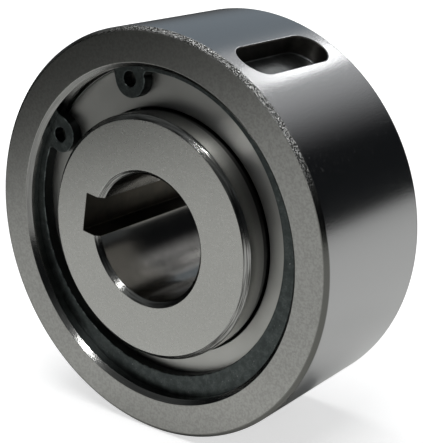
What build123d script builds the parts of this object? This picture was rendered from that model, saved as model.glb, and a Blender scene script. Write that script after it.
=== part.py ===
"""Sprag clutch, a one-way clutch: 80 mm outside, 25 mm keyed bore, 32 mm wide outer ring.

Two plain rings turn on one axis. The ring-shaped space between them holds a full set of sprags,
cam-shaped blocks that let the outer ring run on clockwise, seen from the front, and wedge it to the
inner ring the other way. Two garter springs keep every sprag tipped against both tracks. A side
plate closes each end of the space, and a retaining ring in a groove holds each plate.

Millimetres. The clutch's axis is Y, the front faces -Y and +Z is up. The origin is on the axis,
halfway along the bore. Angles run from +X towards +Z, which is anticlockwise seen from the front.
"""

from build123d import *

import os
from math import asin, atan2, cos, degrees, hypot, pi, radians, sin, sqrt, tan

# Outer ring
outer_diameter = 80.0
outer_ring_width = 32.0
outer_ring_wall = 7.5
outer_edge_chamfer = 0.6
race_mouth_chamfer = 0.9

# Key pocket in the outer ring's rim, closed at both ends, for a round-ended key
pocket_width = 8.0
pocket_length = 24.0
pocket_depth = 4.0
pocket_angle = 61.3

# Inner ring, keyed to the shaft
bore_diameter = 25.0
inner_ring_stand_proud = 1.0
track_edge_chamfer = 1.0
bore_mouth_chamfer = 1.0
keyway_width = 8.0
keyway_depth = 3.3
keyway_angle = 170.35

# Retaining rings and the grooves that they snap into
groove_depth = 1.5
groove_edge_margin = 2.85
retaining_ring_thickness = 2.5
retaining_ring_widest = 5.7
retaining_ring_narrowest = 2.45
lug_width = 7.3
lug_side = 1.0
lug_hole_diameter = 3.0
lug_half_angle = 22.7
lug_root_fillet = 0.8
front_gap_angle = 125.35
rear_gap_angle = 62.0

# Side plates
plate_thickness = 3.0
plate_edge_chamfer = 0.2

# Sprags: two cam faces whose centres stand off the middle line on opposite sides. The sprag space is
# the height between the two tracks.
sprag_space = 8.5
sprag_count = 24
cam_offset = 0.3
outer_cam_radius = 4.6
inner_cam_radius = 4.2
outer_lobe_width = 6.4
inner_lobe_gap = 0.8
waist_width = 4.6
lobe_corner_fillet = 0.4

# Garter springs, and the rounded ledge at each end of a sprag that one lies on
spring_coil_diameter = 1.6
spring_section_sides = 8
spring_end_room = 0.3
spring_ledge_radius = 2.6
spring_ledge_lead = 0.3

# Clearances
groove_width_clearance = 0.15
retaining_ring_seat_clearance = 0.05
plate_seat_clearance = 0.05
plate_hub_clearance = 0.2
sprag_track_clearance = 0.08
sprag_end_clearance = 0.15
spring_race_clearance = 0.6
spring_ledge_clearance = 0.15
cutter_overrun = 1.0

# Radii from the axis
outer_radius = outer_diameter / 2
race_radius = outer_radius - outer_ring_wall
groove_radius = race_radius + groove_depth
track_radius = race_radius - sprag_space
bore_radius = bore_diameter / 2
sprag_pivot_radius = (race_radius + track_radius) / 2
spring_radius = race_radius - spring_race_clearance - spring_coil_diameter / 2

# Distances along the axis from the middle of the clutch
outer_half_width = outer_ring_width / 2
inner_half_width = outer_half_width + inner_ring_stand_proud
groove_outer_wall = outer_half_width - groove_edge_margin
groove_inner_wall = groove_outer_wall - retaining_ring_thickness - groove_width_clearance
plate_outer_face = groove_outer_wall - retaining_ring_thickness
sprag_half_length = plate_outer_face - plate_thickness - sprag_end_clearance
spring_ledge_length = spring_coil_diameter + 2 * spring_end_room
spring_offset = sprag_half_length - spring_ledge_length / 2

front, rear = -1, 1
os.makedirs("parts", exist_ok=True)


def radial(angle):
    """The direction that points straight out from the clutch's axis at an angle."""
    return Vector(cos(radians(angle)), 0, sin(radians(angle)))


def tangential(angle):
    """The direction along the circumference at an angle, towards larger angles."""
    return Vector(-sin(radians(angle)), 0, cos(radians(angle)))


def save(piece, label):
    """Label a finished piece and write it to a STEP file of the same name."""
    piece.label = label
    export_step(piece, f"parts/{label}.step")


# ---------------------------------------------------------------- outer ring
# A turned ring. Its bore is the sprags' outer track and the plates' seat in one, with a groove near
# each end. The half section is drawn from the middle of the width to the front and mirrored.
with BuildPart() as outer_ring:
    with BuildSketch():
        with BuildLine():
            Polyline(
                (race_radius, 0),
                (race_radius, groove_inner_wall),
                (groove_radius, groove_inner_wall),
                (groove_radius, groove_outer_wall),
                (race_radius, groove_outer_wall),
                (race_radius, outer_half_width - race_mouth_chamfer),
                (race_radius + race_mouth_chamfer, outer_half_width),
                (outer_radius - outer_edge_chamfer, outer_half_width),
                (outer_radius, outer_half_width - outer_edge_chamfer),
                (outer_radius, 0),
            )
            mirror(about=Plane.XZ)
        make_face()
    revolve(axis=Axis.Y)
    pocket_floor = Plane(
        origin=radial(pocket_angle) * (outer_radius - pocket_depth),
        x_dir=(0, 1, 0),
        z_dir=radial(pocket_angle),
    )
    with BuildSketch(pocket_floor):
        SlotOverall(pocket_length, pocket_width)
    extrude(amount=pocket_depth + cutter_overrun, mode=Mode.SUBTRACT)
save(outer_ring.part, "outer_ring")

# ---------------------------------------------------------------- inner ring
# A plain sleeve with the sprags' inner track outside and a keyed bore inside. It stands a little
# proud of the outer ring at both ends, so that what clamps it leaves the outer ring free.
with BuildPart() as inner_ring:
    with BuildSketch():
        with BuildLine():
            Polyline(
                (bore_radius, 0),
                (bore_radius, inner_half_width - bore_mouth_chamfer),
                (bore_radius + bore_mouth_chamfer, inner_half_width),
                (track_radius - track_edge_chamfer, inner_half_width),
                (track_radius, inner_half_width - track_edge_chamfer),
                (track_radius, 0),
            )
            mirror(about=Plane.XZ)
        make_face()
    revolve(axis=Axis.Y)
    with BuildSketch(Plane(origin=(0, 0, 0), x_dir=radial(keyway_angle), z_dir=(0, 1, 0))):
        Rectangle(bore_radius + keyway_depth, keyway_width, align=(Align.MIN, Align.CENTER))
    extrude(amount=inner_half_width, both=True, mode=Mode.SUBTRACT)
save(inner_ring.part, "inner_ring")

# ---------------------------------------------------------------- side plates
# Flat washers that close the sprag space. They fit the outer ring's bore, turn with it, and clear
# the inner ring all round.
for side, name in ((front, "front_side_plate"), (rear, "rear_side_plate")):
    plate_face = Plane(origin=(0, side * plate_outer_face, 0), z_dir=(0, side, 0))
    with BuildPart() as side_plate:
        with BuildSketch(plate_face):
            Circle(race_radius - plate_seat_clearance)
            Circle(track_radius + plate_hub_clearance, mode=Mode.SUBTRACT)
        extrude(amount=-plate_thickness)
        chamfer(side_plate.edges().filter_by(GeomType.CIRCLE), plate_edge_chamfer)
    save(side_plate.part, name)

# ---------------------------------------------------------------- retaining rings
# Stamped spring-steel rings that taper from their widest point to two lugs with plier holes. The
# tapering comes from an inner circle that is set off centre towards the gap. A lug's end is round
# about its hole. Its far side then runs straight, as long as the lug side says, up to the ring's
# inner edge at the lug root, and the two lugs' near sides bound the gap.
ring_outer_radius = groove_radius - retaining_ring_seat_clearance
ring_inner_radius = ring_outer_radius - (retaining_ring_widest + retaining_ring_narrowest) / 2
ring_inner_offset = (retaining_ring_widest - retaining_ring_narrowest) / 2
lug_root_radius = ring_inner_offset * cos(radians(lug_half_angle)) + sqrt(
    ring_inner_radius**2 - (lug_width / 2 + ring_inner_offset * sin(radians(lug_half_angle))) ** 2
)
lug_hole_radius = lug_root_radius - lug_side
lug_shank = ring_outer_radius - lug_hole_radius - retaining_ring_narrowest / 2
gap_apex = lug_width / 2 / sin(radians(lug_half_angle))
gap_length = outer_radius
gap_half_width = gap_length * tan(radians(lug_half_angle))


def is_lug_root(corner):
    """Whether a corner of the outline is where a lug's far side meets the ring's inner edge."""
    off_edge = hypot(corner.X - ring_inner_offset, corner.Y) - ring_inner_radius
    beyond_lug = abs(degrees(atan2(corner.Y, corner.X))) > lug_half_angle
    return beyond_lug and abs(off_edge) < retaining_ring_seat_clearance


for side, gap_angle, name in (
    (front, front_gap_angle, "front_retaining_ring"),
    (rear, rear_gap_angle, "rear_retaining_ring"),
):
    ring_face = Plane(
        origin=(0, side * groove_outer_wall, 0),
        x_dir=radial(gap_angle),
        z_dir=(0, side, 0),
    )
    with BuildPart() as retaining_ring:
        with BuildSketch(ring_face) as ring_outline:
            Circle(ring_outer_radius)
            with Locations((ring_inner_offset, 0)):
                Circle(ring_inner_radius, mode=Mode.SUBTRACT)
            for turn in (-lug_half_angle, lug_half_angle):
                with PolarLocations(lug_hole_radius, 1, start_angle=turn):
                    Circle(lug_width / 2)
                    Rectangle(lug_shank, lug_width, align=(Align.MIN, Align.CENTER))
            Circle(ring_outer_radius, mode=Mode.INTERSECT)
            with Locations((gap_apex, 0)):
                Polygon(
                    (0, 0),
                    (gap_length, -gap_half_width),
                    (gap_length, gap_half_width),
                    align=None,
                    mode=Mode.SUBTRACT,
                )
            fillet(ring_outline.vertices().filter_by(is_lug_root), lug_root_fillet)
            for turn in (-lug_half_angle, lug_half_angle):
                with PolarLocations(lug_hole_radius, 1, start_angle=turn):
                    Circle(lug_hole_diameter / 2, mode=Mode.SUBTRACT)
        extrude(amount=-retaining_ring_thickness)
    save(retaining_ring.part, name)

# ---------------------------------------------------------------- garter springs
# Closed rings of close-wound coil, one round each end of the set of sprags. Each is modelled as the
# many-sided ring that its coils fill.
for side, name in ((front, "front_garter_spring"), (rear, "rear_garter_spring")):
    with BuildPart() as garter_spring:
        with BuildSketch():
            with Locations((spring_radius, side * spring_offset)):
                RegularPolygon(
                    spring_coil_diameter / 2,
                    spring_section_sides,
                    major_radius=False,
                    rotation=180 / spring_section_sides,
                )
        revolve(axis=Axis.Y)
    save(garter_spring.part, name)

# ---------------------------------------------------------------- sprags
# Each sprag is drawn in its own plane, which has its origin on the sprag's pivot line, x along the
# circumference and y straight out. The centre of each cam lies where the cam meets its track with
# the running clearance, a little to one side, and that lean is what makes the sprag wedge.
outer_cam_centre = (
    -cam_offset,
    sqrt((race_radius - sprag_track_clearance - outer_cam_radius) ** 2 - cam_offset**2)
    - sprag_pivot_radius,
)
inner_cam_centre = (
    cam_offset,
    sqrt((track_radius + sprag_track_clearance + inner_cam_radius) ** 2 - cam_offset**2)
    - sprag_pivot_radius,
)
inner_lobe_width = 2 * pi * track_radius / sprag_count - inner_lobe_gap
outer_cam_half_angle = degrees(asin(outer_lobe_width / 2 / outer_cam_radius))
inner_cam_half_angle = degrees(asin(inner_lobe_width / 2 / inner_cam_radius))
ledge_top = spring_radius - spring_coil_diameter / 2 - spring_ledge_clearance - sprag_pivot_radius
ledge_centre = ledge_top - spring_ledge_radius

for number in range(sprag_count):
    angle = 360 / sprag_count * (number + 0.5)
    sprag_middle = Plane(
        origin=radial(angle) * sprag_pivot_radius,
        x_dir=tangential(angle),
        z_dir=(0, 1, 0),
    )
    with BuildPart() as sprag:
        with BuildSketch(sprag_middle) as cam_outline:
            with BuildLine():
                outer_cam = CenterArc(
                    outer_cam_centre,
                    outer_cam_radius,
                    90 - outer_cam_half_angle,
                    2 * outer_cam_half_angle,
                )
                inner_cam = CenterArc(
                    inner_cam_centre,
                    inner_cam_radius,
                    270 - inner_cam_half_angle,
                    2 * inner_cam_half_angle,
                )
                ThreePointArc(outer_cam @ 1, (-waist_width / 2, 0), inner_cam @ 0)
                ThreePointArc(inner_cam @ 1, (waist_width / 2, 0), outer_cam @ 0)
            make_face()
            fillet(cam_outline.vertices(), lobe_corner_fillet)
        extrude(amount=sprag_half_length, both=True)
        # The ledge: all that lies outside a round bed is cut away at each end, to make room for a spring.
        for end in (front, rear):
            with BuildSketch(sprag_middle.offset(end * sprag_half_length)):
                with Locations((0, ledge_centre)):
                    Rectangle(
                        sprag_space,
                        sprag_space,
                        align=(Align.CENTER, Align.MIN),
                    )
                with Locations((spring_ledge_lead, ledge_centre)):
                    Circle(spring_ledge_radius, mode=Mode.SUBTRACT)
            extrude(amount=-end * spring_ledge_length, mode=Mode.SUBTRACT)
    save(sprag.part, f"sprag_{number + 1:02d}")
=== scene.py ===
from math import asin, atan2, cos, pi, radians, sin, sqrt

import bpy
import numpy as np
from mathutils import Matrix, Vector
from mathutils.geometry import tessellate_polygon


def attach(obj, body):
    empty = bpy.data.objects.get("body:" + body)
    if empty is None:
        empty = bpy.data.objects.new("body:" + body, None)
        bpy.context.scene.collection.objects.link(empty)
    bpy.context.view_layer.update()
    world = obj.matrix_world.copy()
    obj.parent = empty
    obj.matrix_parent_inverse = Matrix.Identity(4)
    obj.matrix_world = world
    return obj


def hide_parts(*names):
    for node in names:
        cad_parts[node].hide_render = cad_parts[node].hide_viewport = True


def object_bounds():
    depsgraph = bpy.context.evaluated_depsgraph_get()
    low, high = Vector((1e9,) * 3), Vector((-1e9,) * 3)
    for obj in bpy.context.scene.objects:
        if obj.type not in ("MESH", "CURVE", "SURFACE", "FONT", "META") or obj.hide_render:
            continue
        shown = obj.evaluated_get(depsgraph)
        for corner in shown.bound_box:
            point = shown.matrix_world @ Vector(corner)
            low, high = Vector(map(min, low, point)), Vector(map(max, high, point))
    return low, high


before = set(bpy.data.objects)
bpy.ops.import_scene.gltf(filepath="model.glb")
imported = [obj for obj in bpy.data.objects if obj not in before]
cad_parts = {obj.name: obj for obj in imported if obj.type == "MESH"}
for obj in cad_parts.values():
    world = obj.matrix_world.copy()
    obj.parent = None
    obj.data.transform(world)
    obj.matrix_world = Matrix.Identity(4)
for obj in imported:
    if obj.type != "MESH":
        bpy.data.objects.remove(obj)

cad_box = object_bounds()
mm = 0.001

# The clutch's axis is Y, its front faces -Y, and angles run from +X towards +Z.


# ------------------------------------------------------------------ inner ring
# A hardened sleeve of bearing steel with the sprags' inner track ground on its outside. The track is
# painted darker towards the side plates and nearly black next to them, as painted shade between the
# parts.
# Its faces are lapped to a satin, its corners are turned to 45 degree chamfers, and the keyway is
# broached through the bore and left rough.
class Wire:
    """One output in a material's node tree. Sums and products of wires add Math nodes."""

    def __init__(self, tree, socket=None):
        self.tree = tree
        self.socket = socket

    def node(self, kind, settings=None, sockets=None, output=0):
        """Add a node, with its settings first and then a value or a link for each socket named."""
        made = self.tree.nodes.new(kind)
        for name, value in (settings or {}).items():
            setattr(made, name, value)
        for key, value in (sockets or {}).items():
            if isinstance(value, Wire):
                self.tree.links.new(value.socket, made.inputs[key])
            else:
                made.inputs[key].default_value = value
        return Wire(self.tree, made.outputs[output] if len(made.outputs) else None)

    def math(self, operation, *values):
        """A Math node on wires and numbers."""
        return self.node("ShaderNodeMath", {"operation": operation}, dict(enumerate(values)))

    def __add__(self, other):
        return self.math("ADD", self, other)

    def __radd__(self, other):
        return self.math("ADD", other, self)

    def __sub__(self, other):
        return self.math("SUBTRACT", self, other)

    def __rsub__(self, other):
        return self.math("SUBTRACT", other, self)

    def __mul__(self, other):
        return self.math("MULTIPLY", self, other)

    def __rmul__(self, other):
        return self.math("MULTIPLY", other, self)

    def __pow__(self, other):
        return self.math("POWER", self, other)

    def smooth(self, low, high):
        """0 up to low and 1 from high, with a smooth rise between."""
        return self.node(
            "ShaderNodeMapRange",
            {"interpolation_type": "SMOOTHSTEP"},
            {"Value": self, "From Min": low, "From Max": high},
        )

    def size(self):
        """The wire's value without its sign."""
        return self.math("ABSOLUTE", self)


def noise(at, per_metre, detail):
    """Fractal noise from 0 to 1 at a position, with so many lumps to the metre."""
    return at.node(
        "ShaderNodeTexNoise", sockets={"Vector": at, "Scale": per_metre, "Detail": detail}
    )


def scaled(at, factors):
    """A position stretched by a factor along each axis."""
    return at.node("ShaderNodeVectorMath", {"operation": "MULTIPLY"}, {0: at, 1: factors})


def blend(mask, low, high):
    """The colour low where the mask is 0 and high where it is 1."""
    return mask.node(
        "ShaderNodeMix",
        {"data_type": "RGBA"},
        {0: mask, 6: low, 7: high},
        output=2,
    )


def material(name):
    """A new material with an empty tree, and a wire to start its nodes from."""
    made = bpy.data.materials.new(name)
    made.use_nodes = True
    made.node_tree.nodes.clear()
    return made, Wire(made.node_tree)


def object_place(start):
    """A point's place in its object's coordinates, which are the clutch's own."""
    return start.node("ShaderNodeTexCoord", output=3)


def split(vector):
    """The x, y and z of a vector."""
    return [
        vector.node("ShaderNodeSeparateXYZ", sockets={0: vector}, output=part) for part in range(3)
    ]


def distance(a, b):
    """The root of a squared plus b squared."""
    return (a * a + b * b) ** 0.5


def lathe_lines(across, x, z, lines_per_metre):
    """Noise drawn out round the axis into fine lines, which follow each other across the surface."""
    breaks_per_metre = 160
    at = across.node(
        "ShaderNodeCombineXYZ",
        sockets={0: across * lines_per_metre, 1: x * breaks_per_metre, 2: z * breaks_per_metre},
    )
    return noise(at, 1, 2)


def finish_metal(start, colour, roughness, height, metallic=1.0, strength=0.5):
    """Close a metal's tree with a Principled shader whose normal comes from a height in metres."""
    normal = start.node(
        "ShaderNodeBump", sockets={"Strength": strength, "Distance": 1.0, "Height": height}
    )
    shader = start.node(
        "ShaderNodeBsdfPrincipled",
        sockets={
            "Base Color": colour,
            "Metallic": metallic,
            "Roughness": roughness,
            "Normal": normal,
        },
    )
    start.node("ShaderNodeOutputMaterial", sockets={"Surface": shader})


def rounded(corners, radii, steps=5):
    """A closed outline with rounded corners, as points and outward normals for each corner.

    The outline runs anticlockwise. Each corner becomes an arc tangent to both of its sides. It
    starts back along the first side by the radius times the tangent of half the turn, and a point
    of it is the arc's centre plus the radius times the normal, which turns with the outline.
    """
    corners = np.array(corners, float)
    ahead = np.roll(corners, -1, 0) - corners
    ahead /= np.linalg.norm(ahead, axis=1, keepdims=True)
    behind = np.roll(ahead, 1, 0)
    turn = np.arctan2(
        behind[:, 0] * ahead[:, 1] - behind[:, 1] * ahead[:, 0], (behind * ahead).sum(1)
    )
    radii = np.broadcast_to(np.array(radii, float), turn.shape)
    start = corners - behind * (radii * np.tan(abs(turn) / 2))[:, None]
    angle = np.arctan2(behind[:, 1], behind[:, 0])[:, None] - pi / 2
    angle = angle + turn[:, None] * np.linspace(0, 1, steps)
    normals = np.stack([np.cos(angle), np.sin(angle)], -1)
    signed = (np.sign(turn) * radii)[:, None, None]
    centre = start[:, None] - signed * normals[:, :1]
    return centre + signed * normals, normals


def ring_section(inner, outer, low, high, chamfer):
    """The corners of a ring's section, anticlockwise, with a 45 degree chamfer at all four."""
    return [
        (inner + chamfer, low),
        (outer - chamfer, low),
        (outer, low + chamfer),
        (outer, high - chamfer),
        (outer - chamfer, high),
        (inner + chamfer, high),
        (inner, high - chamfer),
        (inner, low + chamfer),
    ]


def turned(points, normals, angles):
    """Points of radius and place along the axis, turned to each angle.

    A point goes to radius times cosine, place and radius times sine, and its normal with it.
    """
    cosine, sine = np.cos(angles), np.sin(angles)

    def turn(pair):
        radial, along = pair[:, :1], pair[:, 1:]
        return np.stack([radial * cosine, along + 0 * cosine, radial * sine], -1)

    return turn(points), turn(normals)


def weld(name, grids, flats=()):
    """One mesh from grids of points and normals, and from flat sets of triangles.

    Points that coincide become one vertex with the mean of their normals, a quad with two equal
    corners becomes a triangle, and a face that looks away from its normals is turned over.
    """
    points, normals, faces, first = [], [], [], 0
    for grid, normal in grids:
        rows, columns = grid.shape[:2]
        index = first + np.arange(rows * columns).reshape(rows, columns)
        corner = (index[:-1, :-1], index[1:, :-1], index[1:, 1:], index[:-1, 1:])
        faces.append(np.stack(corner, -1).reshape(-1, 4))
        points.append(grid.reshape(-1, 3))
        normals.append(np.broadcast_to(normal, grid.shape).reshape(-1, 3))
        first += rows * columns
    for flat, normal, triangles in flats:
        faces.append(first + np.concatenate([triangles, triangles[:, 2:]], 1))
        points.append(flat)
        normals.append(np.broadcast_to(normal, flat.shape))
        first += len(flat)
    points, normals, faces = map(np.concatenate, (points, normals, faces))
    # The shift keeps round sizes away from the borders between cells.
    cell_size, shift = 1e-7, 0.37
    cell = np.floor(points / cell_size + shift).astype(np.int64)
    _, kept, same = np.unique(cell, axis=0, return_index=True, return_inverse=True)
    same = same.reshape(-1)
    total = np.zeros((len(kept), 3))
    np.add.at(total, same, normals)
    normals = total / np.linalg.norm(total, axis=1, keepdims=True)
    points, faces = points[kept], same[faces]
    across = points[faces[:, 2]] - points[faces[:, 0]]
    along = points[faces[:, 3]] - points[faces[:, 1]]
    outward = (np.cross(across, along) * normals[faces].sum(1)).sum(1) > 0
    faces = np.where(outward[:, None], faces, faces[:, ::-1])
    distinct = faces != np.roll(faces, -1, 1)
    corners = distinct.sum(1)
    quads = faces[corners == 4].tolist()
    triangles = faces[corners == 3][distinct[corners == 3]].reshape(-1, 3).tolist()
    mesh = bpy.data.meshes.new(name)
    mesh.from_pydata(points.tolist(), [], quads + triangles)
    mesh.polygons.foreach_set("use_smooth", np.ones(len(mesh.polygons), bool))
    mesh.normals_split_custom_set_from_vertices(normals.tolist())
    made = bpy.data.objects.new(name, mesh)
    bpy.context.scene.collection.objects.link(made)
    return made


def reach_of(node):
    """How far a CAD node's points lie from the axis, and along it from the middle, to a micron."""
    points = np.array([vertex.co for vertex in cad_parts[node].data.vertices])
    return round(np.hypot(points[:, 0], points[:, 2]).max(), 6), round(points[:, 1].max(), 6)


track_radius, inner_half_width = reach_of("inner_ring")
bore_radius = 12.5 * mm
inner_chamfer = 1 * mm
turned_break = 0.12 * mm
keyway_half_width = 4 * mm
keyway_bottom = 15.8 * mm
keyway_angle = radians(170.35)
keyway_corner = 0.25 * mm
keyway_break = 0.15 * mm
key_span = radians(24)
bore_columns = 301
corner_points = 5
face_rows = 7
# Painted shade on the track: nearly black up to the first reach from the middle, fading out by the
# second.
painted_shadow_reach = (11.9 * mm, 12.3 * mm)
painted_shade_reach = (12 * mm, 16 * mm)

lapped_dull = (0.49, 0.49, 0.47, 1)
lapped_bright = (0.53, 0.53, 0.51, 1)
lapping_pits = (0.41, 0.41, 0.39, 1)
painted_shade_grey = (0.12, 0.12, 0.12, 1)
painted_shade_black = (0.03, 0.03, 0.03, 1)
bore_dull = (0.26, 0.25, 0.235, 1)
bore_bright = (0.42, 0.41, 0.39, 1)
chamfer_dark = (0.07, 0.07, 0.065, 1)
chamfer_bright = (0.46, 0.46, 0.45, 1)
# Painted shade for the keyway, from near black to a brownish dark.
painted_keyway_shade = (0.035, 0.035, 0.03, 1)
painted_keyway_brown = (0.11, 0.095, 0.075, 1)

inner_points, inner_normals = rounded(
    ring_section(bore_radius, track_radius, -inner_half_width, inner_half_width, inner_chamfer),
    turned_break,
)


def keyway_loop(radius, wall, bottom):
    """The bore's outline where its radius, the keyway's half width and its bottom are as given.

    In a frame with x towards the keyway's middle, the outline is the bore's arc, and then for each
    side a small arc that breaks the edge, the wall, the corner's arc and the bottom. The keyway's
    share of each point runs from 0 on the bore to 1 on the wall.
    """
    break_x = sqrt((radius + keyway_break) ** 2 - (wall + keyway_break) ** 2)
    edge = atan2(wall + keyway_break, break_x)
    bore = np.linspace(edge, 2 * pi - edge, bore_columns)
    arc = np.stack([np.cos(bore), np.sin(bore)], -1)
    turn = np.linspace(pi + edge, 3 * pi / 2, corner_points)
    rim = np.stack([np.cos(turn), np.sin(turn)], -1)
    centre = np.array([break_x, wall + keyway_break])
    corner = np.linspace(-pi / 2, 0, corner_points)
    hollow = np.stack([-np.cos(corner), np.sin(corner)], -1)
    inside = np.array([bottom - keyway_corner, wall - keyway_corner])
    wall_x = np.linspace(break_x, bottom - keyway_corner, 5)[1:-1]
    bottom_y = np.linspace(wall - keyway_corner, 0, 4)[1:]
    upper = np.concatenate([
        centre + keyway_break * rim,
        np.stack([wall_x, wall + 0 * wall_x], -1),
        inside - keyway_corner * hollow,
        np.stack([bottom + 0 * bottom_y, bottom_y], -1),
    ])
    upper_normal = np.concatenate([
        rim,
        np.stack([0 * wall_x, -1 + 0 * wall_x], -1),
        hollow,
        np.stack([-1 + 0 * bottom_y, 0 * bottom_y], -1),
    ])
    upper_share = np.ones(len(upper))
    upper_share[:corner_points] = np.linspace(0, 1, corner_points)
    flip = np.array([1, -1])
    return (
        np.concatenate([radius * arc, upper * flip, upper[::-1][1:]]),
        np.concatenate([-arc, upper_normal * flip, upper_normal[::-1][1:]]),
        np.concatenate([0 * bore, upper_share, upper_share[::-1][1:]]),
    )


# The bore's rows run from its rear mouth to its front one. On the keyway they spread by the flare at
# each mouth, lie at key_y along the axis and lean towards the mouth, while its walls stay straight.
bore_points = np.concatenate(inner_points[[5, 6, 7, 0]])
bore_normals = np.concatenate(inner_normals[[5, 6, 7, 0]])
steps = inner_points.shape[1]
quarter = np.linspace(0, pi / 2, steps)
flare = np.concatenate([turned_break * (1 - np.sin(quarter)), np.zeros(steps)])
flare = np.concatenate([flare, flare[::-1]])
key_y = np.concatenate([
    inner_half_width - turned_break * (1 - np.cos(quarter)),
    bore_points[steps:2 * steps, 1],
])
key_y = np.concatenate([key_y, -key_y[::-1]])
lean = np.concatenate([np.cos(quarter), np.zeros(steps)])
lean = np.concatenate([lean, -lean[::-1]])
rows, row_normals = [], []
for (radius, bore_y), (_, bore_lean), grow, wall_y, wall_lean in zip(
    bore_points, bore_normals, flare, key_y, lean
):
    loop, loop_normal, share = keyway_loop(radius, keyway_half_width + grow, keyway_bottom + grow)
    height = bore_y + (wall_y - bore_y) * share
    tilt = bore_lean + (wall_lean - bore_lean) * share
    flat = np.sqrt(1 - tilt ** 2)
    rows.append(np.stack([loop[:, 0], height, loop[:, 1]], -1))
    row_normals.append(np.stack([loop_normal[:, 0] * flat, tilt, loop_normal[:, 1] * flat], -1))
key_turn = np.array([
    [cos(keyway_angle), 0, -sin(keyway_angle)],
    [0, 1, 0],
    [sin(keyway_angle), 0, cos(keyway_angle)],
])
bore_grid = np.stack(rows) @ key_turn.T
bore_normal = np.stack(row_normals) @ key_turn.T

# The track has as many columns as the bore, and those within the key span of the keyway's middle
# join its outline.
column = np.concatenate([
    np.linspace(key_span, 2 * pi - key_span, bore_columns),
    np.linspace(2 * pi - key_span, 2 * pi + key_span, len(share) - bore_columns + 2)[1:-1],
])
column = np.append(column, column[0] + 2 * pi) + keyway_angle
bore_grid = np.concatenate([bore_grid, bore_grid[:, :1]], 1)
bore_normal = np.concatenate([bore_normal, bore_normal[:, :1]], 1)
track_grid, track_normal = turned(
    np.concatenate(inner_points[1:5]), np.concatenate(inner_normals[1:5]), column
)


def face_between(inner, outer):
    """A flat ring between two closed rows of points: each row is a mix of the two."""
    mix = np.linspace(0, 1, face_rows)[:, None, None]
    return inner * (1 - mix) + outer * mix


rear, front = np.array([0.0, 1.0, 0.0]), np.array([0.0, -1.0, 0.0])
inner_ring = weld(
    "inner_ring_turned",
    [
        (bore_grid, bore_normal),
        (track_grid, track_normal),
        (face_between(bore_grid[0], track_grid[-1]), rear),
        (face_between(bore_grid[-1], track_grid[0]), front),
    ],
)

turned_steel, wire = material("turned_steel")
place = object_place(wire)
x, y, z = split(place)
radius = distance(x, z)
along = y.size()
towards_key = x * cos(keyway_angle) + z * sin(keyway_angle)
across_key = (z * cos(keyway_angle) - x * sin(keyway_angle)).size()
on_face = along.smooth(inner_half_width - 0.05 * mm, inner_half_width)
off_face = 1 - on_face
in_bore = 1 - radius.smooth(bore_radius + 0.05 * mm, bore_radius + 0.1 * mm)
keyway = (
    towards_key.smooth(bore_radius - 1 * mm, bore_radius - 0.9 * mm)
    * (1 - across_key.smooth(keyway_half_width + 0.02 * mm, keyway_half_width + 0.08 * mm))
    * (1 - radius.smooth(keyway_bottom + 1 * mm, keyway_bottom + 2 * mm))
    * off_face
)
on_chamfer = (
    off_face
    * (1 - keyway)
    * along.smooth(inner_half_width - inner_chamfer, inner_half_width - inner_chamfer + 0.1 * mm)
)
grain = noise(place, 2400, 3)
cloud = noise(place, 60, 3)
stain = noise(place, 420, 4)
face_rings = lathe_lines(radius, x, z, 5200)
cut_lines = lathe_lines(along, x, z, 7500)
colour = blend(cloud, lapped_dull, lapped_bright)
colour = blend(grain.smooth(0.3, 0.7) * 0.4, colour, lapping_pits)
# Painted shade: the track darkens towards the side plates and is nearly black next to them.
colour = blend(off_face * (1 - along.smooth(*painted_shade_reach)) * 0.75, colour, painted_shade_grey)
colour = blend(off_face * (1 - along.smooth(*painted_shadow_reach)), colour, painted_shade_black)
colour = blend(in_bore, colour, blend(stain, bore_dull, bore_bright))
cut = blend(cut_lines.smooth(0.35, 0.65), chamfer_dark, chamfer_bright)
colour = blend(on_chamfer, colour, cut)
# Painted shade: the keyway's walls and bottom are painted near black, mottled with brown stains.
colour = blend(keyway, colour, blend(stain, painted_keyway_shade, painted_keyway_brown))
finish_metal(
    wire,
    colour,
    0.09 + on_face * 0.16 + grain * 0.06 + keyway * 0.3 + on_chamfer * 0.06 + in_bore * 0.05,
    on_face * (face_rings * 0.3 + grain * 0.7) * 0.008 * mm
    + off_face * cut_lines * 0.006 * mm
    + on_chamfer * cut_lines * 0.08 * mm
    + in_bore * grain * 0.006 * mm
    + keyway * grain * 0.02 * mm,
)
inner_ring.data.materials.append(turned_steel)
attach(inner_ring, "inner_race")
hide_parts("inner_ring")


# ---------------------------------------------------------------------- sprags
# Twenty-four cam-shaped blocks, drawn as a long bar of bearing steel, cut to length and hardened,
# then tumbled and polished until both cams shine. They stand between the two tracks and wedge.
tumbled_dull = (0.46, 0.45, 0.43, 1)
tumbled_bright = (0.58, 0.575, 0.56, 1)
drawn_lines = (4000, 120, 4000)

cam_steel, wire = material("cam_steel")
place = object_place(wire)
drawn = noise(scaled(place, drawn_lines), 1, 2)
tint = noise(place, 220, 2)
finish_metal(
    wire,
    blend(tint, tumbled_dull, tumbled_bright),
    0.2 + drawn * 0.1,
    drawn * 0.003 * mm,
    strength=0.4,
)
for name, node in sorted(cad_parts.items()):
    if name.startswith("sprag_"):
        node.data.materials.clear()
        node.data.materials.append(cam_steel)


# -------------------------------------------------------------- garter springs
# Two endless springs of fine music wire, close-wound and hooked end to end. Each lies on the
# ledges at one end of the sprags, draws them in and tips every one against both tracks.
spring_reach, spring_end = reach_of("rear_garter_spring")
coil_radius = 0.8 * mm
spring_radius = spring_reach - coil_radius
spring_offset = spring_end - coil_radius
wire_radius = 0.17 * mm
coil_pitch = 0.4 * mm
coil_sides = 10
wire_sides = 5
music_wire_dull = (0.36, 0.36, 0.37, 1)
music_wire_bright = (0.52, 0.52, 0.52, 1)

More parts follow.
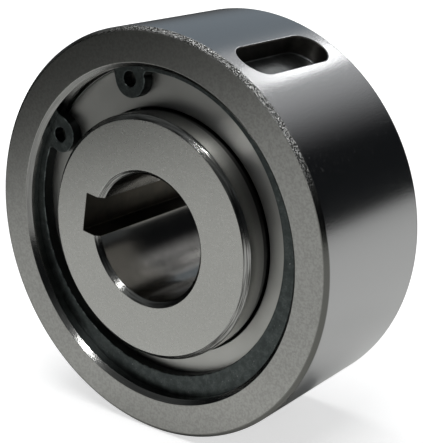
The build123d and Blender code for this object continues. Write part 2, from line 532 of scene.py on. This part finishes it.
spring_wire, wire = material("spring_wire")
drawn = noise(object_place(wire), 1800, 2)
finish_metal(
    wire,
    blend(drawn, music_wire_dull, music_wire_bright),
    0.24 + drawn * 0.1,
    drawn * 0.002 * mm,
    strength=0.4,
)


def wound(centre_y):
    """A coil wound round a ring: the coil turns a whole number of times in one turn of the ring.

    A point of its centre line stands off the ring's circle by the coil's mean radius times the
    cosine outwards and times the sine along the axis, and the wire's section is a circle about
    that line, in the plane square to it.
    """
    turns = round(2 * pi * spring_radius / coil_pitch)
    way = np.linspace(0, 2 * pi, turns * coil_sides + 1)
    wind = way * turns
    out = np.stack([np.cos(way), 0 * way, np.sin(way)], -1)
    ahead = np.stack([-np.sin(way), 0 * way, np.cos(way)], -1)
    axis = np.array([0.0, 1.0, 0.0])
    mean = coil_radius - wire_radius
    away = out * np.cos(wind)[:, None] + axis * np.sin(wind)[:, None]
    line = spring_radius * out + mean * away + centre_y * axis
    round_coil = axis * np.cos(wind)[:, None] - out * np.sin(wind)[:, None]
    heading = mean * turns * round_coil + (spring_radius + mean * np.cos(wind))[:, None] * ahead
    heading /= np.linalg.norm(heading, axis=1, keepdims=True)
    side = np.cross(heading, away)
    section = np.linspace(0, 2 * pi, wire_sides + 1)[:, None, None]
    normal = away * np.cos(section) + side * np.sin(section)
    return line + wire_radius * normal, normal


for name, centre_y in (("front", -spring_offset), ("rear", spring_offset)):
    spring = weld(f"{name}_garter_coil", [wound(centre_y)])
    spring.data.materials.append(spring_wire)
    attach(spring, "outer_race")
    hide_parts(f"{name}_garter_spring")


# ----------------------------------------------------------------- side plates
# Two flat washers of cold-rolled steel, blanked and then ground on both faces, which close the
# ends of the sprag space. Grinding leaves fine arcs on them, and handling dulls them in patches.
plate_outer_radius, plate_outer_face = reach_of("rear_side_plate")
plate_thickness = 3 * mm
plate_inner_face = plate_outer_face - plate_thickness
hub_clearance = 0.2 * mm
plate_inner_radius = track_radius + hub_clearance
plate_chamfer = 0.2 * mm
plate_break = 0.06 * mm
plate_columns = np.linspace(0, 2 * pi, 361)
handled_grey = (0.41, 0.41, 0.39, 1)
ground_grey = (0.57, 0.57, 0.55, 1)
grinding_arcs = (900, 40, 5200)

plate_steel, wire = material("plate_steel")
place = object_place(wire)
grain = noise(place, 2400, 3)
cloud = noise(place, 90, 4)
arcs = noise(scaled(place, grinding_arcs), 1, 2)
rub = noise(place, 150, 3).smooth(0.45, 0.75)
finish_metal(
    wire,
    blend(cloud, handled_grey, ground_grey),
    0.36 + grain * 0.08 + rub * 0.05,
    (arcs * 0.5 + grain * 0.5) * 0.006 * mm,
)
for name, way in (("front", -1), ("rear", 1)):
    low, high = sorted((way * plate_inner_face, way * plate_outer_face))
    points, normals = rounded(
        ring_section(plate_inner_radius, plate_outer_radius, low, high, plate_chamfer), plate_break
    )
    points = np.concatenate([points.reshape(-1, 2), points[0, :1]])
    normals = np.concatenate([normals.reshape(-1, 2), normals[0, :1]])
    plate = weld(f"{name}_plate_ground", [turned(points, normals, plate_columns)])
    plate.data.materials.append(plate_steel)
    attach(plate, "outer_race")
    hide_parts(f"{name}_side_plate")


# ------------------------------------------------------------- retaining rings
# Two spring-steel rings, stamped, hardened and blackened in hot salts, which snap into the outer
# ring's grooves and hold the side plates in. The press rounds their edges, and handling wears the
# black through to grey on the edges and in small specks.
ring_outer_radius, ring_outer_face = reach_of("rear_retaining_ring")
ring_thickness = ring_outer_face - plate_outer_face
ring_widest = 5.7 * mm
ring_narrowest = 2.45 * mm
lug_angle = radians(22.7)
lug_half_width = 3.65 * mm
lug_side = 1 * mm
lug_hole = 1.5 * mm
lug_root = 0.8 * mm
lug_corner = 0.35 * mm
stamped_edge = 0.22 * mm
front_gap_angle = radians(125.35)
rear_gap_angle = radians(62.0)
salt_black = (0.055, 0.064, 0.064, 1)
salt_grey = (0.10, 0.115, 0.112, 1)
salt_pits = (0.045, 0.052, 0.052, 1)
# Painted shade for the ring's walls.
painted_side_shade = (0.020, 0.022, 0.022, 1)
worn_edge = (0.21, 0.24, 0.235, 1)
bare_steel = (0.34, 0.35, 0.35, 1)


def arc(centre, radius, start, stop, count, outward=1):
    """Points of an arc and their normals, which point away from the centre, or to it for -1."""
    angle = np.linspace(start, stop, count)
    away = np.stack([np.cos(angle), np.sin(angle)], -1)
    return centre + radius * away, outward * away


def along_lug(offset, radius, centre=(0, 0)):
    """How far out along the lug a line at an offset beside it meets a circle round a centre."""
    u, v = lug_way
    start = offset * v - np.array(centre)
    b = start @ u
    return -b + sqrt(b * b - start @ start + radius ** 2)


# The band tapers to the lugs because its inner circle is set off centre, towards the gap. A lug is
# round about its hole, and its far side runs straight, for the lug side, to the ring's inner edge.
ring_inner_radius = ring_outer_radius - (ring_widest + ring_narrowest) / 2
ring_centre = np.array([(ring_widest - ring_narrowest) / 2, 0])
lug_way = np.array([[cos(lug_angle), sin(lug_angle)], [-sin(lug_angle), cos(lug_angle)]])
u, v = lug_way
hole_centre = (along_lug(lug_half_width, ring_inner_radius, ring_centre) - lug_side) * u
root_offset = lug_half_width + lug_root
root = root_offset * v + u * along_lug(root_offset, ring_inner_radius - lug_root, ring_centre)
corner_offset = lug_corner - lug_half_width
corner = corner_offset * v + u * along_lug(corner_offset, ring_outer_radius - lug_corner)
root_angle = atan2(*(root - ring_centre)[::-1])
corner_angle = atan2(*corner[::-1])
half = [
    arc(ring_centre, ring_inner_radius, pi, root_angle, 150, -1),
    arc(root, lug_root, root_angle, lug_angle - pi / 2, 10, -1),
    arc(hole_centre, lug_half_width, lug_angle + pi / 2, lug_angle + 3 * pi / 2, 40),
    arc(corner, lug_corner, lug_angle - pi / 2, corner_angle, 8),
    arc(np.zeros(2), ring_outer_radius, corner_angle, pi, 180),
]
half_points = np.concatenate([points for points, _ in half])
half_normals = np.concatenate([normals for _, normals in half])
flip = np.array([1, -1])
outline = np.concatenate([half_points, half_points[::-1] * flip])
outline_normal = np.concatenate([half_normals, half_normals[::-1] * flip])
holes = [
    arc(np.array([hole_centre[0], way * hole_centre[1]]), lug_hole, 0, 2 * pi, 49, -1)
    for way in (1, -1)
]

quarter = np.linspace(0, pi / 2, 6)
edge_inset = np.concatenate([1 - np.sin(quarter), (1 - np.sin(quarter))[::-1]]) * stamped_edge
edge_depth = (1 - np.cos(quarter)) * stamped_edge
edge_depth = np.concatenate([edge_depth, ring_thickness - edge_depth[::-1]])
edge_lean = np.concatenate([np.cos(quarter), -np.cos(quarter)[::-1]])

blackened, wire = material("blackened_spring_steel")
place = object_place(wire)
along = split(place)[1].size()
on_face = along.smooth(ring_outer_face - 0.2 * mm, ring_outer_face - 0.05 * mm)
on_break = along.smooth(ring_outer_face - 0.22 * mm, ring_outer_face - 0.14 * mm) * (
    1 - along.smooth(ring_outer_face - 0.05 * mm, ring_outer_face - 0.01 * mm)
)
scale_cloud = noise(place, 700, 4)
grain = noise(place, 3000, 2)
worn = noise(place, 1500, 2).smooth(0.68, 0.76)
colour = blend(scale_cloud.smooth(0.3, 0.7), salt_black, salt_grey)
colour = blend(grain.smooth(0.35, 0.65) * 0.5, colour, salt_pits)
# Painted shade: the walls between the ring's two faces are painted darker than the faces.
colour = blend(on_face, painted_side_shade, colour)
colour = blend(on_break * scale_cloud.smooth(0.45, 0.6), colour, worn_edge)
finish_metal(
    wire,
    blend(worn * on_face * 0.5, colour, bare_steel),
    0.30 + scale_cloud * 0.14 + grain * 0.06,
    (scale_cloud * 0.6 + grain * 0.4) * 0.016 * mm,
)

for name, way, gap_angle in (("front", -1, front_gap_angle), ("rear", 1, rear_gap_angle)):
    east = np.array([cos(gap_angle), 0, sin(gap_angle)])
    north = np.array([-sin(gap_angle), 0, cos(gap_angle)])
    axis = np.array([0.0, way, 0.0])

    def placed(pair, rise=0.0):
        """A point of the ring's outline, put on the clutch at a distance out along the axis."""
        return pair[..., :1] * east + pair[..., 1:] * north + np.asarray(rise)[..., None] * axis

    grids, caps = [], [[], []]
    for loop, loop_normal in [(outline, outline_normal)] + holes:
        loop = np.concatenate([loop, loop[:1]])
        loop_normal = np.concatenate([loop_normal, loop_normal[:1]])
        inset = loop[None] - edge_inset[:, None, None] * loop_normal[None]
        rise = np.broadcast_to(ring_outer_face - edge_depth[:, None], inset.shape[:2])
        flat = np.sqrt(1 - edge_lean ** 2)[:, None, None] * loop_normal[None]
        tilt = np.broadcast_to(edge_lean[:, None], inset.shape[:2])
        grid = placed(inset, rise)
        grids.append((grid, placed(flat, tilt)))
        caps[0].append(grid[0, :-1])
        caps[1].append(grid[-1, :-1])
    flats = []
    for cap, side in zip(caps, (axis, -axis)):
        flat_loops = [[Vector((p @ east, p @ north, 0)) for p in loop] for loop in cap]
        triangles = np.array(tessellate_polygon(flat_loops))
        flats.append((np.concatenate(cap), side, triangles))
    ring = weld(f"{name}_ring_blackened", grids, flats)
    ring.data.materials.append(blackened)
    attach(ring, "outer_race")
    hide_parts(f"{name}_retaining_ring")


# ------------------------------------------------------------------ outer ring
# A ring of bearing steel, turned, hardened and then ground: the rim on a cylindrical grinder,
# which leaves fine lines round it, and the faces flat. The key pocket is milled into the rim with
# an end mill. Beside it, burrs from handling roughen the upper side of the outer edge, and glints are
# painted there as pale, less metallic specks.
rim_radius, outer_half_width = reach_of("outer_ring")
rim_chamfer = 0.6 * mm
mouth_chamfer = 0.9 * mm
seat_clearance = 0.05 * mm
groove_clearance = 0.15 * mm
race_radius = plate_outer_radius + seat_clearance
groove_radius = ring_outer_radius + seat_clearance
groove_inner_wall = plate_outer_face - groove_clearance
pocket_angle = radians(61.3)
pocket_half_width = 4 * mm
pocket_half_length = 12 * mm
pocket_depth = 4 * mm
pocket_floor = rim_radius - pocket_depth
pocket_break = 0.3 * mm
pocket_corner = 0.3 * mm
patch_half_width = 7 * mm
patch_across = 31
patch_along = 51
patch_rows = 13
patch_crowding = 1.3
long_columns = 351
lip_steps = 6
floor_rows = 7
speck_cells = (1100, 1100, 1100)
streak_cells = (420, 2600, 420)
ground_dull = (0.38, 0.38, 0.365, 1)
ground_bright = (0.44, 0.44, 0.425, 1)
ground_pits = (0.30, 0.30, 0.285, 1)
rim_bright = (0.52, 0.52, 0.525, 1)
edge_dark = (0.16, 0.16, 0.15, 1)
# Painted glint colour for the specks on the upper side of the outer edge.
painted_glint_white = (0.80, 0.80, 0.79, 1)
mouth_dark = (0.12, 0.12, 0.115, 1)
mouth_bright = (0.42, 0.42, 0.41, 1)
# Painted shade inside the key pocket, from near black to a brownish grey.
painted_pocket_shade = (0.07, 0.07, 0.065, 1)
painted_pocket_brown = (0.26, 0.24, 0.22, 1)
floor_dark = (0.16, 0.17, 0.17, 1)
floor_bright = (0.60, 0.61, 0.61, 1)

half_section = [
    (race_radius + mouth_chamfer, -outer_half_width),
    (rim_radius - rim_chamfer, -outer_half_width),
    (rim_radius, rim_chamfer - outer_half_width),
]
bore_half = [
    (race_radius, outer_half_width - mouth_chamfer),
    (race_radius, ring_outer_face),
    (groove_radius, ring_outer_face),
    (groove_radius, groove_inner_wall),
    (race_radius, groove_inner_wall),
]
section = (
    half_section
    + [(radius, -height) for radius, height in half_section[::-1]]
    + bore_half
    + [(radius, -height) for radius, height in bore_half[::-1]]
)
outer_points, outer_normals = rounded(section, turned_break)
rim_low = outer_points[2, -1, 1]
rim_high = outer_points[3, 0, 1]

# The rim round the pocket is a patch of its own, whose columns run on into the rest of the rim.
patch_turn = asin(patch_half_width / rim_radius)
patch_x = np.linspace(-patch_half_width, patch_half_width, patch_across)
patch_columns = pocket_angle + np.arcsin(patch_x / rim_radius)
long_way = np.linspace(
    pocket_angle + patch_turn, pocket_angle - patch_turn + 2 * pi, long_columns
)
rim_columns = np.concatenate([patch_columns[:-1], long_way])
rim_rows = np.linspace(rim_low, rim_high, patch_along)

body_points, body_normals = [
    np.roll(corners, -3, 0).reshape(-1, 2) for corners in (outer_points, outer_normals)
]
rim_points = np.stack([np.full(patch_along, rim_radius), rim_rows], -1)
rim_normals = np.broadcast_to(np.array([1.0, 0.0]), rim_points.shape)

# The frame goes once round the patch, and each of its points is joined to the nearest point of the
# pocket's edge: spine_y is the middle of the end mill there, and away points from it to the frame.
frame_x = np.concatenate([
    patch_x,
    np.full(patch_along - 2, patch_half_width),
    patch_x[::-1],
    np.full(patch_along - 1, -patch_half_width),
])
frame_y = np.concatenate([
    np.full(patch_across, rim_low),
    rim_rows[1:-1],
    np.full(patch_across, rim_high),
    rim_rows[::-1][1:],
])
straight = pocket_half_length - pocket_half_width
spine_y = np.clip(frame_y, -straight, straight)
away = np.stack([frame_x, frame_y - spine_y], -1)
away /= np.linalg.norm(away, axis=1, keepdims=True)
edge_x = (pocket_half_width + pocket_break) * away[:, 0]
edge_y = spine_y + (pocket_half_width + pocket_break) * away[:, 1]
mix = np.linspace(0, 1, patch_rows)[:, None] ** patch_crowding
rim_x = edge_x * (1 - mix) + frame_x * mix
rim_y = edge_y * (1 - mix) + frame_y * mix
out = np.array([cos(pocket_angle), 0, sin(pocket_angle)])
round_way = np.array([-sin(pocket_angle), 0, cos(pocket_angle)])
axis = np.array([0.0, 1.0, 0.0])


def on_pocket(across, along, height):
    """A point in the pocket's own frame: across the rim, along the axis and out from the axis."""
    return (
        np.asarray(across)[..., None] * round_way
        + np.asarray(along)[..., None] * axis
        + np.asarray(height)[..., None] * out
    )


rim_height = np.sqrt(rim_radius ** 2 - rim_x ** 2)
patch = on_pocket(rim_x, rim_y, rim_height)
patch_normal = on_pocket(rim_x / rim_radius, 0 * rim_y, rim_height / rim_radius)

# From the rim in, the pocket's rows are its rounded lip, its straight wall, the corner at its foot
# and the flat floor, which closes on the spine.
share = np.linspace(0, 1, lip_steps)[:, None]
quarter = share * pi / 2
lip = pocket_half_width + pocket_break * (1 - np.sin(quarter))
lip_x = lip * away[:, 0]
lip_height = np.sqrt(rim_radius ** 2 - lip_x ** 2) - pocket_break * (1 - np.cos(quarter))
wall_height = lip_height[-1] + (pocket_floor + pocket_corner - lip_height[-1]) * share
inset = pocket_half_width - pocket_corner * (1 - np.cos(quarter))
sunk = pocket_floor + pocket_corner * (1 - np.sin(quarter))
floor_inset = (pocket_half_width - pocket_corner) * np.linspace(1, 0, floor_rows)[:, None]
reach = np.concatenate([lip, pocket_half_width + 0 * quarter, inset, floor_inset])
height = np.concatenate([
    lip_height, wall_height, sunk + 0 * lip_x[:1], pocket_floor + 0 * floor_inset + 0 * lip_x[:1]
])
lean = np.concatenate([np.sin(quarter), 1 + 0 * quarter, np.cos(quarter), 0 * floor_inset])
pocket = on_pocket(reach * away[:, 0], spine_y + reach * away[:, 1], height)
pocket_normal = on_pocket(-lean * away[:, 0], -lean * away[:, 1], np.sqrt(1 - lean ** 2))

outer_ring = weld(
    "outer_ring_ground",
    [
        turned(body_points, body_normals, rim_columns),
        turned(rim_points, rim_normals, long_way),
        (patch, patch_normal),
        (pocket, pocket_normal),
    ],
)


def flecks(at, share):
    """1 on a small spot in some of the cells that a position is divided into, and 0 elsewhere."""
    spot = at.node("ShaderNodeTexVoronoi", sockets={"Vector": at, "Scale": 1.0})
    cell = at.node("ShaderNodeTexVoronoi", sockets={"Vector": at, "Scale": 1.0}, output=1)
    chosen = at.node("ShaderNodeSeparateColor", sockets={0: cell}).smooth(1 - share, 1.02 - share)
    return chosen * (1 - spot.smooth(0.05, 0.18))


ground_steel, wire = material("ground_steel")
place = object_place(wire)
x, y, z = split(place)
radius = distance(x, z)
along = y.size()
on_rim = radius.smooth(rim_radius - 0.1 * mm, rim_radius - 0.02 * mm)
off_rim = 1 - on_rim
on_edge = (
    radius.smooth(rim_radius - rim_chamfer - 0.4 * mm, rim_radius - rim_chamfer)
    * along.smooth(outer_half_width - rim_chamfer - 0.4 * mm, outer_half_width - rim_chamfer)
)
in_mouth = 1 - radius.smooth(race_radius + mouth_chamfer - 0.08 * mm, race_radius + mouth_chamfer)
in_pocket = (
    off_rim
    * radius.smooth(pocket_floor - 0.5 * mm, pocket_floor - 0.3 * mm)
    * (1 - along.smooth(pocket_half_length, pocket_half_length + 1 * mm))
)
on_floor = in_pocket * (1 - radius.smooth(pocket_floor + 0.25 * mm, pocket_floor + 0.4 * mm))
grain = noise(place, 2400, 3)
cloud = noise(place, 70, 3)
stain = noise(place, 500, 4)
glitter = noise(place, 4800, 1).smooth(0.5, 0.58)
rim_grain = noise(place, 4200, 1)
rim_lines = noise(scaled(place, (35, 4200, 35)), 1, 2)
face_rings = lathe_lines(radius, x, z, 4600)
cut_lines = lathe_lines(along, x, z, 7500)
# Painted glints: pale, less metallic specks on the upper side of the outer edge, which burrs also
# roughen in the bump.
painted_glint_side = (
    on_edge
    * (z - x * 0.4).smooth(-4 * mm, 12 * mm)
    * (x.smooth(-18 * mm, 6 * mm) * 0.85 + 0.15)
)
burrs_and_painted_glints = painted_glint_side * glitter
dust = flecks(scaled(place, speck_cells), 0.6) + flecks(scaled(place, streak_cells), 0.3)
dusty = on_rim * z.smooth(0, 15 * mm)
colour = blend(cloud, ground_dull, ground_bright)
colour = blend(grain.smooth(0.35, 0.65) * 0.7, colour, ground_pits)
colour = blend(on_rim, colour, rim_bright)
colour = blend(on_edge, colour, edge_dark)
colour = blend(burrs_and_painted_glints, colour, painted_glint_white)
colour = blend(in_mouth, colour, blend(cut_lines, mouth_dark, mouth_bright))
# Painted shade: the pocket's walls and lip are painted dark, mottled with brown stains, while its
# floor stays lighter.
colour = blend(in_pocket, colour, blend(stain, painted_pocket_shade, painted_pocket_brown))
colour = blend(on_floor, colour, blend(stain, floor_dark, floor_bright))
finish_metal(
    wire,
    colour,
    0.26 - on_rim * 0.12 + grain * 0.07 + in_pocket * 0.10 - (on_edge + in_mouth) * 0.12,
    on_rim * (rim_lines * 0.003 + rim_grain * 0.02) * mm
    + off_rim * face_rings * 0.003 * mm
    + grain * 0.016 * mm
    + burrs_and_painted_glints * 0.03 * mm
    + in_mouth * cut_lines * 0.03 * mm,
    metallic=1 - dust * dusty * 0.2 - painted_glint_side * 0.2 - burrs_and_painted_glints * 0.5,
)
outer_ring.data.materials.append(ground_steel)
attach(outer_ring, "outer_race")
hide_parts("outer_ring")


# ---------------------------------------------------------------------- studio
# A white table under a large soft lamp, which itself has no reflection. The polished faces mirror a
# dark room instead: grey above, a pale wall behind and a blue-grey wall on the left. In reflections
# the table's colour is painted light and shade: brighter near the clutch and dimmer further off, and
# dark off to the right and in front on the left. Two small lamps, one behind and one in front, give
# the glints.
table_drop = 0.05 * mm
table_reach = 3.0
end_shade_way = (-0.99, -0.11)
end_shade_fade = (0.12, 0.25)
right_shade_fade = (0.35, 0.8)
# Painted light and shade on the table as reflections show it.
paper_white = (0.55, 0.55, 0.55, 1)
painted_light_near = (0.86, 0.86, 0.84, 1)
painted_light_far = (0.66, 0.66, 0.645, 1)
painted_shade_right = (0.02, 0.02, 0.02, 1)
painted_shade_end = (0.014, 0.015, 0.013, 1)
room_black = (0.009, 0.010, 0.011, 1)
room_grey = (0.10, 0.105, 0.105, 1)
rear_grey = (0.70, 0.71, 0.72, 1)
low_wall = (0.09, 0.09, 0.09, 1)
wall_blue = (0.225, 0.26, 0.29, 1)
plain_white = (1, 1, 1, 1)

table_height = cad_box[0].z - table_drop
floor_mesh = bpy.data.meshes.new("floor")
floor_mesh.from_pydata(
    [
        (a * table_reach, b * table_reach, table_height)
        for a, b in ((-1, -1), (1, -1), (1, 1), (-1, 1))
    ],
    [],
    [(0, 1, 2, 3)],
)
floor = bpy.data.objects.new("floor", floor_mesh)
bpy.context.scene.collection.objects.link(floor)

floor_white, wire = material("floor_white")
x, y, _ = split(object_place(wire))
seen = wire.node("ShaderNodeLightPath", output="Is Camera Ray")
mirrored = wire.node("ShaderNodeLightPath", output="Is Glossy Ray")
reach = distance(x, y)
fade = reach.smooth(0.12, 0.4) * 0.34 + 0.66
glow = wire.node("ShaderNodeEmission", sockets={"Color": plain_white, "Strength": seen * fade})
paper = wire.node("ShaderNodeBsdfDiffuse", sockets={"Color": paper_white})
lit = wire.node("ShaderNodeAddShader", sockets={0: paper, 1: glow})
# For glossy rays the table is painted with a pool of light near the clutch, dimmer further off, and
# painted shade to the right and at the front left.
in_end_shade = (x * end_shade_way[0] + y * end_shade_way[1]).smooth(*end_shade_fade)
shade = blend(reach.smooth(0.03, 0.065), painted_light_near, painted_light_far)
shade = blend(x.smooth(*right_shade_fade), shade, painted_shade_right)
shade = blend(in_end_shade, shade, painted_shade_end)
table = wire.node("ShaderNodeBsdfDiffuse", sockets={"Color": shade})
surface = wire.node("ShaderNodeMixShader", sockets={0: mirrored, 1: lit, 2: table})
wire.node("ShaderNodeOutputMaterial", sockets={"Surface": surface})
floor.data.materials.append(floor_white)

world = bpy.data.worlds.new("room")
bpy.context.scene.world = world
world.use_nodes = True
world.node_tree.nodes.clear()
wire = Wire(world.node_tree)
right, back, up = split(wire.node("ShaderNodeTexCoord", output=0))
seen = wire.node("ShaderNodeLightPath", output="Is Camera Ray")
rear_lit = 1 - (right - up).smooth(-0.7, 0.11)
rear_band = up.smooth(0.1, 0.3) * (1 - up.smooth(0.62, 0.70))
on_left = (right * -1).smooth(0.2, 0.34) * back.smooth(0.1, 0.5)
room = blend(up.smooth(0.36, 0.60), room_black, room_grey)
room = blend(back.smooth(0.3, 0.5), room, blend(rear_lit * rear_band, room_black, rear_grey))
room = blend(on_left, room, blend(up.smooth(0.0, 0.25), low_wall, wall_blue))
backdrop = wire.node("ShaderNodeBackground", sockets={"Color": plain_white, "Strength": 1.0})
lighting = wire.node("ShaderNodeBackground", sockets={"Color": room, "Strength": 1.0})
surface = wire.node("ShaderNodeMixShader", sockets={0: seen, 1: lighting, 2: backdrop})
wire.node("ShaderNodeOutputWorld", sockets={"Surface": surface})


def lamp(name, direction, away, width, height, brightness):
    """A rectangular soft lamp that faces the clutch.

    Its power is pi times its area times the brightness that its face shows.
    """
    light = bpy.data.lights.new(name, "AREA")
    light.shape = "RECTANGLE"
    light.size = width
    light.size_y = height
    light.energy = brightness * pi * width * height
    made = bpy.data.objects.new(name, light)
    bpy.context.scene.collection.objects.link(made)
    place = Vector(direction).normalized() * away
    aim = (-place).to_track_quat("-Z", "Y")
    made.matrix_world = Matrix.Translation(place) @ aim.to_matrix().to_4x4()
    return made


lamp("back_lamp", (-0.03, 0.80, 0.60), away=0.66, width=0.115, height=0.038, brightness=4.3)
flash = lamp(
    "front_lamp", (0.08, -0.70, 0.71), away=0.6, width=0.04, height=0.07, brightness=45.0
)
flash.visible_diffuse = False
overhead = lamp("overhead_lamp", (0, -0.1, 0.9), away=0.9, width=0.8, height=0.8, brightness=4.6)
overhead.visible_glossy = False

# The camera looks at the clutch from 38 degrees right of the front and 18 degrees above it.
camera_place = (0.13974, -0.17560, 0.07064)
camera_lens = 95.82
camera_sensor = 36
camera_right = Vector((0.7887, 0.6148, 0.0))
camera_up = Vector((-0.1861, 0.2387, 0.9531))
camera_data = bpy.data.cameras.new("camera")
camera_data.sensor_width = camera_sensor
camera_data.lens = camera_lens
camera_data.clip_start = 0.01
camera = bpy.data.objects.new("camera", camera_data)
bpy.context.scene.collection.objects.link(camera)
turn = Matrix((camera_right, camera_up, camera_right.cross(camera_up))).transposed()
camera.matrix_world = Matrix.Translation(camera_place) @ turn.to_4x4()
bpy.context.scene.camera = camera
bpy.context.scene.view_settings.view_transform = "Standard"
